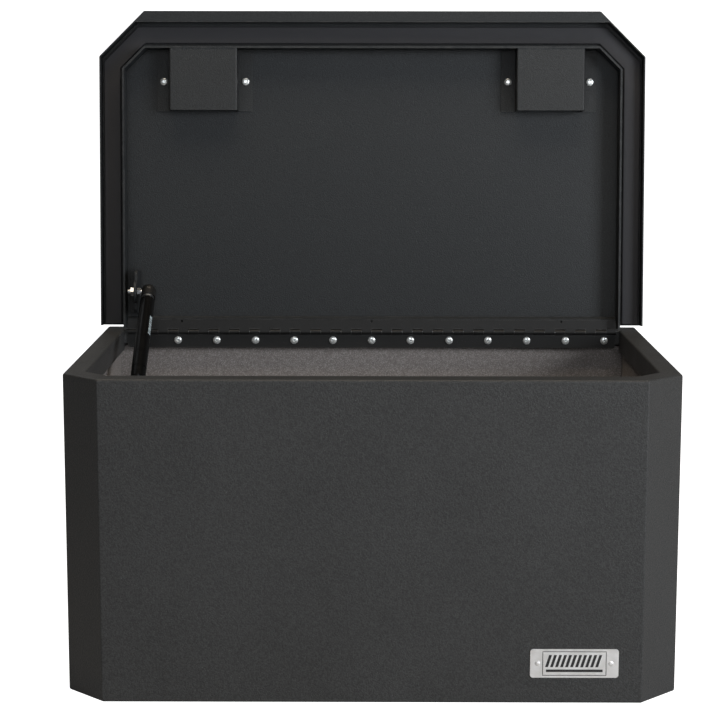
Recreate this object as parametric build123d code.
from build123d import *
import math
import os

# Truck tool box: a folded and welded steel chest with two 45 degree front corners, and a
# lid on a continuous hinge along its rear edge, held open by one gas strut on the left.
# Millimetres. X to the right, the front faces -Y, Z up. The origin is the centre of the
# chest's underside. The lid is modelled closed, about the hinge axis, and then opened.

# ---- driving dimensions -------------------------------------------------------------
body_width = 667.0
body_depth = 414.0
body_height = 354.0
body_corner_leg = 42.0
body_sheet = 2.0
outer_bend = 3.0
inner_bend = 1.9

flange_drop = 25.0            # return flange that hangs from the rim
rear_flange_drop = 17.5       # its rear run, behind the hinge leaf, is shorter
side_rim = 24.0               # outer wall to the inner face of the return flange
front_rim = 26.5
corner_rim = 25.0
floor_flange = 27.0           # bottom flange around the floor plate

hinge_setback = 34.0          # hinge axis to the outer face of the rear wall
hinge_drop = 2.0              # hinge axis below the top of the rim
hinge_length = 609.6
knuckle_length = 12.7
knuckle_gap = 0.3
barrel_radius = 3.2
pin_radius = 1.6
pin_clearance = 0.05
leaf_sheet = 1.5
leaf_notch = 3.9              # leaf edge to axis between its own knuckles
lower_leaf_reach = 20.2
upper_leaf_reach = 15.4
leaf_corner = 4.0
hinge_screw_count = 13
hinge_screw_pitch = 48.4
hinge_bore_radius = 2.6
hinge_shank_radius = 2.4
hinge_screw_drop = 10.8

lid_width = 673.0
lid_reach = 395.5             # hinge axis to the lid's front edge
lid_corner_leg = 55.5
lid_sheet = 1.5
lid_skirt = 21.8              # skirt height, top of the lid to its lower edge
lid_finger_flange = 13.5      # front flange folded inwards as a finger pull
lid_side_start = 8.1          # where the side channels begin, ahead of the axis
lid_panel_start = 5.0
lid_panel_height = 8.3        # underside of the lid panel above the axis
open_angle = 95.2

lip_half_width = 307.4
lip_sheet = 2.3               # hemmed double, so thicker than the lid
lip_reach = 352.0
lip_corner_leg = 27.3
lip_depth = 27.8
lip_start = 4.4
seal_width = 21.0
seal_height = 4.5
seal_gap_side = 4.5
seal_gap_front = 5.0

backing_bar_reach = 19.0
backing_bar_bevel = 2.6
leaf_hole_spacing = 236.5     # three small holes in the upper leaf, with blind ones behind
leaf_hole_reach = 13.2
leaf_hole_radius = 1.5

cover_centres = {"left": -207.8, "right": 219.5}
cover_width = 83.5
cover_flange_width = 117.6
cover_depth = 27.0
cover_start = 274.0
cover_screw_spacing = 101.6
cover_screw_reach = 310.5

lock_reach = 329.0            # lock axis, ahead of the hinge axis
lock_radius = 9.5
lock_head_radius = 12.5
cam_tip = 34.5
cam_width = 16.0
cam_sheet = 2.5
cam_slot_width = 60.0         # openings that let the cam swing through lip and flange
cam_slot_height = 7.0
cam_level = -10.0             # top of the cam, below the hinge axis, lid closed

strut_x = -274.7
strut_lid_reach = 50.5        # upper ball: along the lid from the axis
strut_lid_drop = 32.0         # upper ball: below the axis with the lid closed
strut_foot_forward = 255.0    # lower ball: ahead of the axis
strut_foot_drop = 105.6       # lower ball: below the axis
tube_radius = 9.0
tube_wall = 1.2
tube_length = 137.0
tube_groove_start = 16.0
socket_shank = 17.4           # upper end fitting, ball centre to the tube
neck_radius = 6.8
rod_radius = 4.0
ball_radius = 5.0
socket_radius = 9.3
bracket_x = -290.2
bracket_sheet = 3.0
pivot_gap = 0.3               # the open pivot: stud shoulder to bracket plate

liner_sheet = 16.5
liner_top = 333.0
mat_sheet = 6.0

plate_width = 95.25
plate_height = 31.75
plate_sheet = 1.0
plate_x = 218.0
plate_z = 45.0
plate_rivet_spacing = 79.0

bed_bolt_x = 500.0
bed_bolt_y = 260.0
bed_bolt_radius = 5.25
mat_hole_radius = 14.0

# ---- worked out from the driving dimensions ------------------------------------------
half_width = body_width / 2
front_y = -body_depth / 2
rear_y = body_depth / 2
body_corner_sum = half_width - front_y - body_corner_leg
axis_y = rear_y - hinge_setback
axis_z = body_height - hinge_drop
leaf_back = barrel_radius
opening_rear = axis_y + leaf_back
LOWEST = (Align.CENTER, Align.CENTER, Align.MIN)
ROOT2 = math.sqrt(2)
lid_opened = Pos(0, axis_y, axis_z) * Rot(-open_angle, 0, 0)


# ---- shapes used by many pieces -------------------------------------------------------
def span_box(x, y, z):
    """A box from its lowest and highest value along each axis."""
    middle = [(low + high) / 2 for low, high in (x, y, z)]
    return Pos(*middle) * Box(x[1] - x[0], y[1] - y[0], z[1] - z[0])


def round_bar(radius, length, start, direction):
    return Plane(origin=start, z_dir=direction) * Cylinder(radius, length, align=LOWEST)


def hex_bar(across_flats, length, start, direction):
    outline = RegularPolygon(across_flats / 2, 6, major_radius=False)
    return Plane(origin=start, z_dir=direction) * extrude(outline, length)


def cornered_plan(half, front, rear, corner_sum, bottom, top):
    """A prism whose two front corners are cut at 45 degrees, on |x| - y = corner_sum."""
    right = [(half, rear), (half, half - corner_sum), (corner_sum + front, front)]
    left = [(-x, y) for x, y in reversed(right)]
    outline = make_face(Polyline(*right, *left, close=True))
    return Pos(0, 0, bottom) * extrude(outline, top - bottom)


def body_plan(side, corner, front, rear, bottom, top):
    """The chest's plan, moved in from its outer faces by four distances."""
    return cornered_plan(half_width - side, front_y + front, rear_y - rear,
                         body_corner_sum - corner * ROOT2, bottom, top)


def lid_plan(side, corner, front, start, bottom, top):
    """The closed lid's plan about the hinge axis, moved in from its outer faces."""
    corner_sum = lid_width / 2 + lid_reach - lid_corner_leg - corner * ROOT2
    return cornered_plan(lid_width / 2 - side, front - lid_reach, -start, corner_sum, bottom, top)


def lip_plan(grow, start, bottom, top):
    """The plan of the lid's inner lip, grown outwards by one distance."""
    corner_sum = lip_half_width + lip_reach - lip_corner_leg + grow * ROOT2
    return cornered_plan(lip_half_width + grow, -lip_reach - grow, -start, corner_sum, bottom, top)


def group(solids):
    return Compound(list(solids))


def pan_screw(seat, direction, head_radius, head_height, shank_radius, shank_length, socket):
    """A domed screw on its seat, with a hexagonal socket; direction is out of the head."""
    plane = Plane(origin=seat, z_dir=direction)
    head = Cylinder(head_radius, head_height, align=LOWEST)
    head = fillet(head.faces().sort_by(Axis.Z)[-1].edges(), head_height * 0.72)
    head -= Pos(0, 0, head_height * 0.4) * extrude(RegularPolygon(socket / 2, 6), head_height)
    shank = Pos(0, 0, -shank_length) * Cylinder(shank_radius, shank_length, align=LOWEST)
    return plane * (head + shank)


# ---- chest ----------------------------------------------------------------------------
def make_shell():
    """The whole folded shell: walls, rim, return flange and bottom flange, in one ring."""
    rear_rim = hinge_setback - leaf_back
    t = body_sheet
    shell = body_plan(0, 0, 0, 0, 0, body_height)
    shell = fillet(shell.edges().filter_by(Axis.Z), outer_bend)
    shell = fillet(shell.faces().sort_by(Axis.Z)[-1].edges(), outer_bend)
    shell = fillet(shell.faces().sort_by(Axis.Z)[0].edges(), outer_bend)
    shell -= body_plan(t, t, t, t, t, body_height - t)
    shell -= body_plan(floor_flange, floor_flange, floor_flange, floor_flange, -t, 2 * t)
    low = body_height - flange_drop
    shell += body_plan(side_rim - t, corner_rim - t, front_rim - t, rear_rim - t, low, body_height - t)
    shell -= body_plan(side_rim, corner_rim, front_rim, rear_rim, low - 1, body_height + 1)
    return fillet(mouth_edges(shell), inner_bend)


def mouth_edges(shell):
    """The top edges around the mouth, where the rim turns down into the return flange."""
    top = shell.edges().filter_by_position(Axis.Z, body_height - 0.01, body_height + 0.01)
    reach = half_width - side_rim + 0.1
    nearest = front_y + front_rim - 0.1
    return [edge for edge in top
            if abs(edge.center().X) < reach and nearest < edge.center().Y < opening_rear + 0.1]


def rear_region():
    """The wedge behind the two mitre lines that run from the rear corners to the mouth."""
    mouth_half = half_width - side_rim
    inner = opening_rear - 0.01
    slope = (half_width - mouth_half) / (rear_y - opening_rear)
    out_y = rear_y + 10
    out_x = half_width + 10 * slope
    points = [(-out_x, out_y), (-mouth_half, inner), (mouth_half, inner), (out_x, out_y)]
    return Pos(0, 0, -1) * extrude(make_face(Polyline(*points, close=True)), body_height + 2)


def hinge_screw_places():
    """X of each hinge screw, evenly spaced about the middle."""
    middle = (hinge_screw_count - 1) / 2
    return [(i - middle) * hinge_screw_pitch for i in range(hinge_screw_count)]


def hinge_screw_bores(radius):
    """One bore for each screw, through the lower leaf and the rear return flange."""
    z = axis_z - hinge_screw_drop
    return [round_bar(radius, 12, (x, axis_y - 2, z), (0, 1, 0)) for x in hinge_screw_places()]


def lock_slots():
    """The two openings in the front return flange that the lock cams turn into."""
    y = front_y + front_rim
    z = axis_z + cam_level - cam_sheet / 2
    half = cam_slot_width / 2
    rise = cam_slot_height / 2 + 1.0
    return [span_box((x - half, x + half), (y - 6, y + 2), (z - rise, z + rise))
            for x in cover_centres.values()]


def make_shell_pieces():
    shell = make_shell()
    rear = shell & rear_region()
    wrap = shell - rear_region()
    for bore in hinge_screw_bores(hinge_bore_radius):
        rear -= bore
    rear -= span_box((-half_width, half_width), (opening_rear - 1, opening_rear + body_sheet + 1),
                     (body_height - flange_drop - 1, body_height - rear_flange_drop))
    for slot in lock_slots():
        wrap -= slot
    for x in rivet_places():
        wrap -= round_bar(1.6, 6, (x, front_y - 2, plate_z), (0, 1, 0))
    return wrap, rear


def make_floor():
    floor = body_plan(floor_flange, floor_flange, floor_flange, floor_flange, 0, body_sheet)
    for x, y in bed_bolt_places():
        floor -= round_bar(bed_bolt_radius, 10, (x, y, -2), (0, 0, 1))
    return floor


def bed_bolt_places():
    return [(sx * bed_bolt_x / 2, sy * bed_bolt_y / 2) for sx in (-1, 1) for sy in (-1, 1)]


def make_mat():
    inset = body_sheet + liner_sheet + 0.5
    mat = body_plan(inset, inset, inset, inset, body_sheet, body_sheet + mat_sheet)
    for x, y in bed_bolt_places():
        mat -= round_bar(mat_hole_radius, 20, (x, y, -2), (0, 0, 1))
    return mat


def make_liners():
    """Felt-faced boards that line the walls; the joints between them are plain gaps."""
    t = body_sheet
    inner = t + liner_sheet
    joint = 0.5
    ring = body_plan(t, t, t, t, t, liner_top)
    ring -= body_plan(inner, inner, inner, inner, 0, liner_top + 1)
    wall_x = half_width - t
    wall_y = rear_y - t
    rear_front = wall_y - liner_sheet
    corner_y = half_width - body_corner_sum
    corner_x = body_corner_sum + front_y
    tall = (0, liner_top + 1)
    rear = ring & span_box((-wall_x, wall_x), (rear_front, wall_y), tall)
    side = span_box((0, wall_x), (corner_y + 7, rear_front - joint), tall)
    front = span_box((-corner_x + 7, corner_x - 7), (front_y, 0), tall)
    corner = span_box((corner_x - 7 + joint, wall_x), (front_y, corner_y + 7 - joint), tall)
    right = ring & side
    left = ring & mirror(side, Plane.YZ)
    corners = [ring & corner, ring & mirror(corner, Plane.YZ)]
    foot = strut_foot()
    for y in foot_stud_rows():
        left -= round_bar(3.3, 60, (-wall_x - 1, y, foot[2] - 42), (1, 0, 0))
    return rear, right, left, ring & front, group(c.solids()[0] for c in corners)


def rivet_places():
    return [plate_x - plate_rivet_spacing / 2, plate_x + plate_rivet_spacing / 2]


def make_nameplate():
    plate = RectangleRounded(plate_width, plate_height, 3.2)
    face = Plane(origin=(plate_x, front_y, plate_z), x_dir=(1, 0, 0), z_dir=(0, -1, 0))
    plate = face * extrude(plate, plate_sheet)
    for x in rivet_places():
        plate -= round_bar(1.6, 6, (x, front_y - 3, plate_z), (0, 1, 0))
    return plate


def make_rivets():
    """Dome rivets: a head on the plate, a shank through plate and wall, a set tail."""
    rivets = []
    for x in rivet_places():
        seat = front_y - plate_sheet
        head = Plane(origin=(x, seat, plate_z), z_dir=(0, -1, 0)) * Cylinder(2.7, 1.3, align=LOWEST)
        head = fillet(head.faces().sort_by(Axis.Y)[0].edges(), 1.1)
        shank = round_bar(1.6, plate_sheet + body_sheet, (x, seat, plate_z), (0, 1, 0))
        rivets.append((head + shank).solids()[0])
    return group(rivets)


# ---- hinge ----------------------------------------------------------------------------
def knuckle_starts(first):
    """X where each knuckle of one leaf starts: every second place along the hinge."""
    count = round(hinge_length / knuckle_length)
    return [-hinge_length / 2 + i * knuckle_length for i in range(first, count, 2)]


def make_leaf(reach, first, bore_radius, holes):
    """One hinge leaf, flat behind the axis and hanging down from it, with its knuckles."""
    half = hinge_length / 2
    sheet = Rectangle(hinge_length, reach - leaf_notch)
    sheet = Pos(0, -(reach + leaf_notch) / 2) * sheet
    low_corners = sheet.vertices().sort_by(Axis.Y)[:2]
    sheet = fillet(low_corners, leaf_corner)
    upright = Plane(origin=(0, leaf_back, 0), x_dir=(1, 0, 0), z_dir=(0, -1, 0))
    leaf = upright * extrude(sheet, leaf_sheet)
    for x, z, radius in holes:
        leaf -= round_bar(radius, 20, (x, -10, z), (0, 1, 0))
    tabs = []
    for x in knuckle_starts(first):
        low = x + knuckle_gap / 2
        high = x + knuckle_length - knuckle_gap / 2
        tube = round_bar(barrel_radius, high - low, (low, 0, 0), (1, 0, 0))
        tab = span_box((low, high), (leaf_back - leaf_sheet, leaf_back), (-leaf_notch - 0.1, 0))
        tabs.append(tube + tab)
    leaf = leaf.fuse(*tabs)
    return leaf - round_bar(bore_radius, 2 * half + 2, (-half - 1, 0, 0), (1, 0, 0))


def make_lower_leaf():
    holes = [(x, -hinge_screw_drop, hinge_bore_radius) for x in hinge_screw_places()]
    return Pos(0, axis_y, axis_z) * make_leaf(lower_leaf_reach, 0, pin_radius, holes)


def leaf_hole_places():
    return [side * leaf_hole_spacing for side in (-1, 0, 1)]


def make_upper_leaf():
    """Modelled hanging like the lower leaf, then turned up level for the closed lid."""
    holes = [(x, -leaf_hole_reach, leaf_hole_radius) for x in leaf_hole_places()]
    leaf = make_leaf(upper_leaf_reach, 1, pin_radius + pin_clearance, holes)
    return Rot(-90, 0, 0) * leaf


def make_hinge_screws():
    seat_y = axis_y + leaf_back - leaf_sheet
    z = axis_z - hinge_screw_drop
    return group(pan_screw((x, seat_y, z), (0, -1, 0), 4.8, 2.9, hinge_shank_radius, 8.2, 4.6).solids()[0]
                 for x in hinge_screw_places())


def make_hinge_nuts():
    nuts = []
    for x in hinge_screw_places():
        start = (x, opening_rear + body_sheet, axis_z - hinge_screw_drop)
        nut = hex_bar(8.0, 3.2, start, (0, 1, 0))
        nuts.append((nut - round_bar(hinge_shank_radius, 9, (x, start[1] - 2, start[2]), (0, 1, 0))).solids()[0])
    return group(nuts)


# ---- lid, closed, about the hinge axis --------------------------------------------------
def make_lid_pan():
    """Top skin with skirts on the sides, the 45 degree corners and the front."""
    top = lid_panel_height + lid_sheet
    low = top - lid_skirt
    t = lid_sheet
    pan = lid_plan(0, 0, 0, lid_side_start, low, top)
    edges = [e for e in pan.edges().filter_by(Axis.Z) if e.center().Y < -lid_side_start - 1]
    pan = fillet(edges, outer_bend)
    lid_top = pan.faces().sort_by(Axis.Z)[-1]
    pan = fillet([e for e in lid_top.edges() if e.center().Y < -lid_side_start - 1], outer_bend)
    pan -= lid_plan(t, t, t, 0, low - 1, lid_panel_height)
    tongue = span_box((-lip_half_width, lip_half_width), (-lid_side_start - 5, -lid_panel_start),
                      (lid_panel_height, top))
    pan += tongue
    finger = lid_plan(0.5, 0.5, 0.5, lid_side_start, low, low + t)
    strip = span_box((-lid_width / 2, lid_width / 2), (-lid_reach, -lid_reach + lid_finger_flange),
                     (low - 1, low + t + 1))
    pan += finger & strip
    for x in cover_centres.values():
        pan -= round_bar(lock_radius + 0.1, 20, (x, -lock_reach, 0), (0, 0, 1))
        for sx in (-1, 1):
            place = (x + sx * cover_screw_spacing / 2, -cover_screw_reach, lid_panel_height - 5)
            pan -= round_bar(1.9, 5.9, place, (0, 0, 1))
    return pan


def make_lip():
    """Angle frame welded under the lid panel: a standing lip and a flat leg outside it."""
    t = lid_sheet
    frame = lip_plan(0, lip_start, lid_panel_height - lip_depth, lid_panel_height)
    leg = lid_plan(t + 0.3, t + 0.3, t + 0.3, lid_side_start, lid_panel_height - t, lid_panel_height)
    frame += leg
    frame -= lip_plan(-lip_sheet, lip_start - 20, lid_panel_height - lip_depth - 1, lid_panel_height + 1)
    slot_z = cam_level - cam_sheet / 2
    half = cam_slot_width / 2
    rise = cam_slot_height / 2
    for x in cover_centres.values():
        frame -= span_box((x - half, x + half), (-lip_reach - 2, -lip_reach + 5),
                          (slot_z - rise, slot_z + rise))
    return frame


def make_seal():
    """Flat sponge strip on the lip frame's outer leg; the rim closes against it."""
    top = lid_panel_height - lid_sheet
    low = top - seal_height
    inner_sum = lip_half_width + lip_reach - lip_corner_leg + seal_gap_side * ROOT2
    inner_half = lip_half_width + seal_gap_side
    inner_reach = lip_reach + seal_gap_front
    outer_sum = inner_sum + seal_width * ROOT2
    seal = cornered_plan(inner_half + seal_width, -inner_reach - seal_width, -lid_side_start - 1,
                         outer_sum, low, top)
    seal -= cornered_plan(inner_half, -inner_reach, 0, inner_sum, low - 1, top + 1)
    return seal


def make_backing_bar():
    """Packer that stands the upper hinge leaf off the lid panel; its front edge is bevelled."""
    low = leaf_back
    high = lid_panel_height
    near = -lid_panel_start
    far = -backing_bar_reach
    profile = make_face(Polyline((near, low), (near, high), (far, high),
                                 (far + backing_bar_bevel, low), close=True))
    width = 2 * (lip_half_width - lip_sheet) - 1
    bar = Plane(origin=(-width / 2, 0, 0), x_dir=(0, 1, 0), z_dir=(1, 0, 0)) * extrude(profile, width)
    for x in leaf_hole_places():
        bar -= round_bar(leaf_hole_radius, 4, (x, -leaf_hole_reach, low - 1), (0, 0, 1))
    return bar


def make_cover(centre):
    """Open-ended hat section over one lock, with a flange at each side."""
    t = lid_sheet
    top = lid_panel_height
    far = -lip_reach + lip_sheet
    near = -cover_start
    flange = span_box((centre - cover_flange_width / 2, centre + cover_flange_width / 2),
                      (far, near), (top - t, top))
    half = cover_width / 2
    hat = span_box((centre - half, centre + half), (far, near), (top - cover_depth, top))
    hat = fillet(hat.edges().filter_by(Axis.Y).group_by(Axis.Z)[0], 2.0)
    cover = flange + hat
    cover -= span_box((centre - half + t, centre + half - t), (far - 1, near + 1),
                      (top - cover_depth + t, top + 1))
    for sx in (-1, 1):
        place = (centre + sx * cover_screw_spacing / 2, -cover_screw_reach, top - 10)
        cover -= round_bar(1.9, 20, place, (0, 0, 1))
    return cover


def make_cover_screws():
    seat = lid_panel_height - lid_sheet
    screws = []
    for centre in cover_centres.values():
        for sx in (-1, 1):
            place = (centre + sx * cover_screw_spacing / 2, -cover_screw_reach, seat)
            screw = pan_screw(place, (0, 0, -1), 4.7, 2.7, 1.9, lid_sheet + 0.8, 4.2)
            screws.append(screw.solids()[0])
    return group(screws)


# ---- locks, under the covers -----------------------------------------------------------
def make_lock_housing(centre):
    """Threaded lock body through the lid, with a round head on the outside."""
    top = lid_panel_height + lid_sheet
    low = cam_level + 1.0
    body = round_bar(lock_radius, top - low, (centre, -lock_reach, low), (0, 0, 1))
    head = round_bar(lock_head_radius, 2.6, (centre, -lock_reach, top), (0, 0, 1))
    head = fillet(head.faces().sort_by(Axis.Z)[-1].edges(), 1.6)
    bore = round_bar(6.05, 40, (centre, -lock_reach, low - 1), (0, 0, 1))
    return body + head - bore


def make_lock_nut(centre):
    low = lid_panel_height - 4.0
    nut = hex_bar(25.0, 4.0, (centre, -lock_reach, low), (0, 0, 1))
    return nut - round_bar(lock_radius, 9, (centre, -lock_reach, low - 1), (0, 0, 1))


def make_lock_plug(centre):
    """Turning key plug, with a key slot in its outer face and a square tail for the cam."""
    top = lid_panel_height + lid_sheet + 1.9
    low = cam_level + 0.7
    plug = round_bar(6.0, top - low, (centre, -lock_reach, low), (0, 0, 1))
    plug -= span_box((centre - 4.2, centre + 4.2), (-lock_reach - 0.9, -lock_reach + 0.9),
                     (top - 6, top + 1))
    tail = span_box((centre - 3, centre + 3), (-lock_reach - 3, -lock_reach + 3),
                    (cam_level - cam_sheet, low))
    return plug + tail - round_bar(1.5, 9, (centre, -lock_reach, cam_level - cam_sheet - 1), (0, 0, 1))


def cam_side(name):
    """Each unlocked cam points towards the middle of the lid."""
    return 1 if name == "left" else -1


def make_lock_cam(name):
    centre = cover_centres[name]
    side = cam_side(name)
    eye = Circle(cam_width / 2)
    arm = Pos(side * cam_tip / 2, 0) * Rectangle(cam_tip, cam_width)
    tip = fillet(arm.vertices().group_by(Axis.X)[-1 if side > 0 else 0], 4.0)
    cam = extrude(eye + tip, cam_sheet)
    cam -= Pos(0, 0, cam_sheet / 2) * Box(6.0, 6.0, cam_sheet * 2)
    return Pos(centre, -lock_reach, cam_level - cam_sheet) * cam


def make_cam_screw(centre):
    low = cam_level - cam_sheet
    head = hex_bar(7.0, 2.4, (centre, -lock_reach, low - 2.4), (0, 0, 1))
    washer = round_bar(4.6, 0.6, (centre, -lock_reach, low - 0.6), (0, 0, 1))
    return head + washer + round_bar(1.5, 7.0, (centre, -lock_reach, low - 0.6), (0, 0, 1))


# ---- gas strut ---------------------------------------------------------------------------
def strut_foot():
    return (strut_x, axis_y - strut_foot_forward, axis_z - strut_foot_drop)


def strut_head(angle):
    """Centre of the upper ball with the lid opened by an angle."""
    turn = math.radians(-angle)
    y, z = -strut_lid_reach, -strut_lid_drop
    return (strut_x, axis_y + y * math.cos(turn) - z * math.sin(turn),
            axis_z + y * math.sin(turn) + z * math.cos(turn))


def strut_line(angle):
    """Length of the strut, and its slope above the level, at one lid angle."""
    foot = strut_foot()
    head = strut_head(angle)
    dy, dz = head[1] - foot[1], head[2] - foot[2]
    return math.hypot(dy, dz), math.degrees(math.atan2(dz, dy))


open_length, open_slope = strut_line(open_angle)
shut_length, shut_slope = strut_line(0)
strut_stroke = open_length - shut_length
strut_plane = Plane(origin=strut_foot(), x_dir=(1, 0, 0),
                    z_dir=(0, math.cos(math.radians(open_slope)), math.sin(math.radians(open_slope))))
tube_start = open_length - socket_shank - tube_length


def strut_bar(radius, start, length):
    """A bar on the strut's axis; start is measured from the lower ball."""
    return strut_plane * Pos(0, 0, start) * Cylinder(radius, length, align=LOWEST)


def strut_ball(start, radius):
    return strut_plane * Pos(0, 0, start) * Sphere(radius)


def make_ball_stud(start):
    """Ball, neck and hexagonal shoulder, up to the open pivot's gap from the bracket."""
    centre = strut_plane * Pos(0, 0, start)
    place = tuple(centre.position)
    shoulder_end = bracket_x + bracket_sheet / 2 + pivot_gap
    neck = round_bar(2.8, place[0] - shoulder_end, (shoulder_end, place[1], place[2]), (1, 0, 0))
    hexagon = hex_bar(8.0, 4.2, (shoulder_end, place[1], place[2]), (1, 0, 0))
    return Pos(*place) * Sphere(ball_radius) + neck + hexagon


def make_socket(start, direction, neck_length, cut_side):
    """Moulded end fitting round the ball, open towards the bracket, with a short neck."""
    fitting = strut_ball(start, socket_radius)
    barrel_length = neck_length - 6.0
    barrel_from = start if direction > 0 else start - barrel_length
    fitting += strut_bar(socket_radius - 0.3, barrel_from, barrel_length)
    neck_from = start if direction > 0 else start - neck_length
    fitting += strut_bar(neck_radius, neck_from, neck_length)
    place = strut_plane * Pos(0, 0, start)
    fitting -= Pos(*place.position) * Sphere(ball_radius + 0.05)
    mouth = round_bar(3.9, 20, tuple(place.position), (-1, 0, 0))
    fitting -= mouth
    cut = strut_plane * Pos(-cut_side - 10, 0, start) * Box(20, 40, 40)
    return fitting - cut


def make_socket_clip(start):
    """Safety clip: a flat spring ring round the neck of the end fitting."""
    return strut_bar(neck_radius + 0.8, start, 2.4) - strut_bar(neck_radius, start - 1, 5)


def make_strut_rod():
    return strut_bar(rod_radius, 15.0, tube_start + 22.0 - 15.0)


def make_strut_piston():
    start = tube_start + 22.0
    inner = tube_radius - tube_wall
    piston = strut_bar(inner - 0.05, start, 8.0)
    ring_groove = strut_bar(inner + 1, start + 3, 2) - strut_bar(inner - 1.5, start + 2, 4)
    return piston - ring_groove


def make_strut_tube():
    """Closed pressure tube with a rolled groove near its lower end."""
    tube = strut_bar(tube_radius, tube_start, tube_length)
    tube -= strut_bar(tube_radius - tube_wall, tube_start - 1, tube_length - 3)
    groove = strut_bar(tube_radius + 1, tube_start + tube_groove_start, 1.6)
    return tube - (groove - strut_bar(tube_radius - 0.5, tube_start + tube_groove_start - 1, 4))


def make_rod_guide():
    inner = tube_radius - tube_wall
    return strut_bar(inner, tube_start + 0.5, 8.0) - strut_bar(rod_radius + 0.05, tube_start - 1, 12)


def make_rod_seal():
    inner = tube_radius - tube_wall
    return strut_bar(inner, tube_start + 8.5, 4.5) - strut_bar(rod_radius + 0.05, tube_start + 7, 8)


# ---- strut brackets ------------------------------------------------------------------------
def make_upper_bracket():
    """Angle plate welded to the lid panel; the ball stud's nut is on its outer side."""
    low_x = bracket_x - bracket_sheet / 2
    high_x = bracket_x + bracket_sheet / 2
    along = (-strut_lid_reach - 26.0, -strut_lid_reach + 26.0)
    plate = span_box((low_x, high_x), along, (-strut_lid_drop, lid_panel_height))
    plate = fillet(plate.edges().filter_by(Axis.X).group_by(Axis.Z)[0], 6.0)
    nose = round_bar(14.0, bracket_sheet, (low_x, -strut_lid_reach, -strut_lid_drop), (1, 0, 0))
    foot = span_box((low_x - 9.0, high_x), along, (lid_panel_height - bracket_sheet, lid_panel_height))
    bore = round_bar(3.0, 40, (low_x - 10, -strut_lid_reach, -strut_lid_drop), (1, 0, 0))
    return plate + nose + foot - bore


def make_upper_nut():
    """Flange nut on the outer side of the bracket, with the stud's threaded end in it."""
    low_x = bracket_x - bracket_sheet / 2
    centre = (-strut_lid_reach, -strut_lid_drop)
    thread = round_bar(3.0, bracket_sheet + 8.0, (low_x - 8.0, *centre), (1, 0, 0))
    nut = hex_bar(10.0, 4.8, (low_x - 4.8, *centre), (1, 0, 0))
    return thread + nut


def foot_stud_rows():
    centre = axis_y - strut_foot_forward
    return [centre - 12.0, centre + 12.0]


def make_lower_bracket():
    """Stepped bracket on the left wall: base on the liner board, upright at the ball stud."""
    x, y, z = strut_foot()
    wall = -(half_width - body_sheet - liner_sheet)
    high_x = bracket_x + bracket_sheet / 2
    low_x = bracket_x - bracket_sheet / 2
    across = (y - 22.0, y + 22.0)
    t = bracket_sheet
    base = span_box((wall, wall + t), across, (z - 58.0, z - 20.0))
    shelf = span_box((wall, high_x), across, (z - 23.0, z - 20.0))
    upright = span_box((low_x, high_x), across, (z - 23.0, z))
    upright = upright + round_bar(22.0, t, (low_x, y, z), (1, 0, 0))
    bracket = base + shelf + upright - round_bar(3.0, 60, (wall - 5, y, z), (1, 0, 0))
    for row in foot_stud_rows():
        bracket -= round_bar(3.3, 20, (wall - 5, row, z - 42.0), (1, 0, 0))
    return bracket


def make_foot_studs():
    """Studs welded to the wall, through the liner board and the bracket's base."""
    z = strut_foot()[2] - 42.0
    wall = -(half_width - body_sheet)
    length = liner_sheet + bracket_sheet + 7.0
    return group(round_bar(3.0, length, (wall, y, z), (1, 0, 0)).solids()[0]
                 for y in foot_stud_rows())


def make_foot_nuts():
    z = strut_foot()[2] - 42.0
    start = -(half_width - body_sheet - liner_sheet) + bracket_sheet
    return group((hex_bar(10.0, 5.0, (start, y, z), (1, 0, 0))
                  - round_bar(3.0, 20, (start - 5, y, z), (1, 0, 0))).solids()[0]
                 for y in foot_stud_rows())


def make_foot_ball_stud():
    """Lower ball stud, screwed tight into the lower bracket."""
    x, y, z = strut_foot()
    high_x = bracket_x + bracket_sheet / 2
    neck = round_bar(2.8, x - high_x, (high_x, y, z), (1, 0, 0))
    hexagon = hex_bar(8.0, 4.2, (high_x, y, z), (1, 0, 0))
    thread = round_bar(3.0, bracket_sheet + 8.0, (high_x - bracket_sheet - 8.0, y, z), (1, 0, 0))
    return Pos(x, y, z) * Sphere(ball_radius) + neck + hexagon + thread


def make_foot_ball_nut():
    x, y, z = strut_foot()
    start = bracket_x - bracket_sheet / 2 - 4.8
    return hex_bar(10.0, 4.8, (start, y, z), (1, 0, 0)) - round_bar(3.0, 20, (start - 5, y, z), (1, 0, 0))


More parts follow.
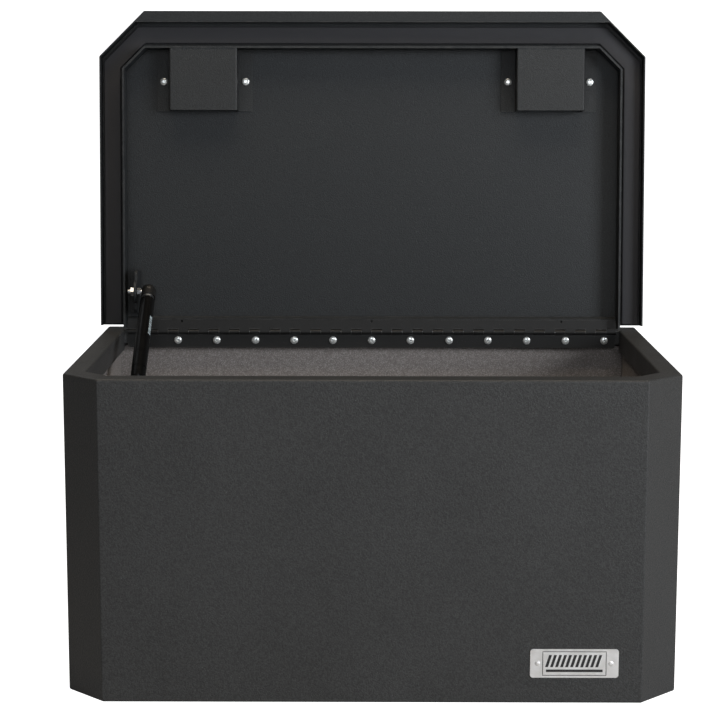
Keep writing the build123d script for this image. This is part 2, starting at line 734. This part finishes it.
# ---- all pieces ------------------------------------------------------------------------------
def box_pieces():
    wrap, rear = make_shell_pieces()
    liner_rear, liner_right, liner_left, liner_front, liner_corners = make_liners()
    pin = round_bar(pin_radius, hinge_length, (-hinge_length / 2, axis_y, axis_z), (1, 0, 0))
    return {
        "shell_wrap": wrap,
        "rear_panel": rear,
        "floor_panel": make_floor(),
        "floor_mat": make_mat(),
        "liner_rear": liner_rear,
        "liner_right": liner_right,
        "liner_left": liner_left,
        "liner_front": liner_front,
        "liner_corners": liner_corners,
        "nameplate": make_nameplate(),
        "nameplate_rivets": make_rivets(),
        "hinge_lower_leaf": make_lower_leaf(),
        "hinge_pin": pin,
        "hinge_screws": make_hinge_screws(),
        "hinge_nuts": make_hinge_nuts(),
        "strut_lower_bracket": make_lower_bracket(),
        "strut_bracket_studs": make_foot_studs(),
        "strut_bracket_nuts": make_foot_nuts(),
        "lower_ball_stud": make_foot_ball_stud(),
        "lower_ball_nut": make_foot_ball_nut(),
    }


def lid_pieces():
    closed = {
        "lid_pan": make_lid_pan(),
        "lid_lip_frame": make_lip(),
        "lid_seal": make_seal(),
        "hinge_backing_bar": make_backing_bar(),
        "hinge_upper_leaf": make_upper_leaf(),
        "cover_screws": make_cover_screws(),
        "strut_upper_bracket": make_upper_bracket(),
        "upper_ball_nut": make_upper_nut(),
    }
    for name, centre in cover_centres.items():
        closed[name + "_lock_cover"] = make_cover(centre)
        closed[name + "_lock_housing"] = make_lock_housing(centre)
        closed[name + "_lock_nut"] = make_lock_nut(centre)
        closed[name + "_lock_plug"] = make_lock_plug(centre)
        closed[name + "_lock_cam"] = make_lock_cam(name)
        closed[name + "_cam_screw"] = make_cam_screw(centre)
    return {name: lid_opened * piece for name, piece in closed.items()}


def strut_pieces():
    return {
        "strut_rod": make_strut_rod(),
        "strut_piston": make_strut_piston(),
        "strut_lower_socket": make_socket(0.0, 1, 19.0, 6.0) - strut_bar(rod_radius, 15.0, 9.0),
        "lower_socket_clip": make_socket_clip(13.2),
        "strut_tube": make_strut_tube(),
        "strut_rod_guide": make_rod_guide(),
        "strut_rod_seal": make_rod_seal(),
        "strut_upper_socket": make_socket(open_length, -1, socket_shank, 8.2),
        "upper_socket_clip": make_socket_clip(open_length - 14.0),
        "upper_ball_stud": make_ball_stud(open_length),
    }


os.makedirs("parts", exist_ok=True)
all_pieces = {**box_pieces(), **lid_pieces(), **strut_pieces()}
for node, piece in all_pieces.items():
    export_step(piece, os.path.join("parts", node + ".step"))

print("pieces", len(all_pieces))
print("hinge axis y", axis_y, "z", axis_z)
print("strut foot", strut_foot(), "head open", strut_head(open_angle))
print("strut open", round(open_length, 2), "slope", round(open_slope, 3))
print("strut shut", round(shut_length, 2), "slope", round(shut_slope, 3), "stroke", round(strut_stroke, 3))
print("swing ratio", (shut_slope - open_slope) / open_angle)
print("slide ratio", -strut_stroke / 1000 / math.radians(open_angle))
